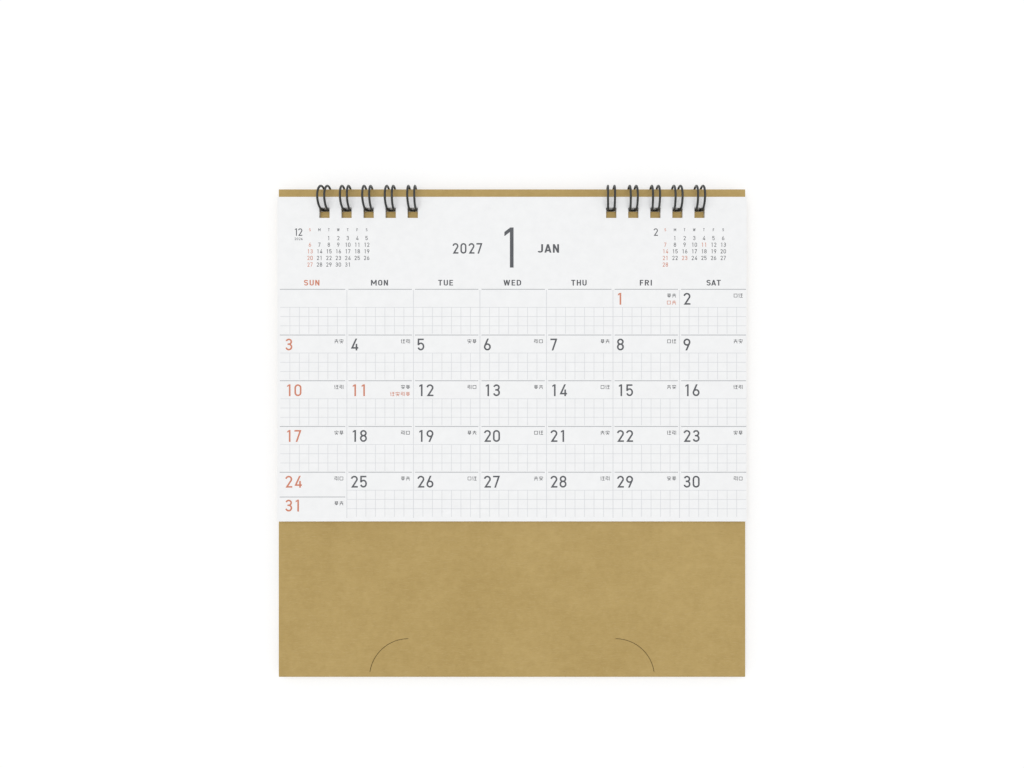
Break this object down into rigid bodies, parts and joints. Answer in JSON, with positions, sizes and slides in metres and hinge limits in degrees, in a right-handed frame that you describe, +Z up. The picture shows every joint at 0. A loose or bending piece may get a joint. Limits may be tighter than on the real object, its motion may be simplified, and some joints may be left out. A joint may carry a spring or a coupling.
{
  "type": "desk calendar",
  "caption": "Desk calendar: a block of month pages hung by twin-loop wire combs on a folded kraft card stand that lies folded flat.",
  "frame": {"origin": "centre of the whole part's footprint, on the plane it lies on", "axes": "+X along the wire combs to the right of the printed page, +Y from the bottom folds to the wire, +Z up out of the pages"},
  "size_m": [0.18, 0.1898, 0.0099],
  "materials": {
    "kraft_board": "brown kraft board, matt, with fine ribs across",
    "page_paper": "white uncoated paper",
    "black_wire": "black nylon coated steel wire, satin"
  },
  "bodies": {
    "stand": {"stand_board": "kraft_board", "wire_left": "black_wire", "wire_right": "black_wire"},
    "pages": {"month_pages": "page_paper"}
  },
  "joints": [
    {"name": "page_turn", "type": "hinge", "parent": "stand", "child": "pages", "pos_m": [0, 0.08992, 0.00495], "axis": [-1, 0, 0], "range_deg": [0, 180]}
  ]
}
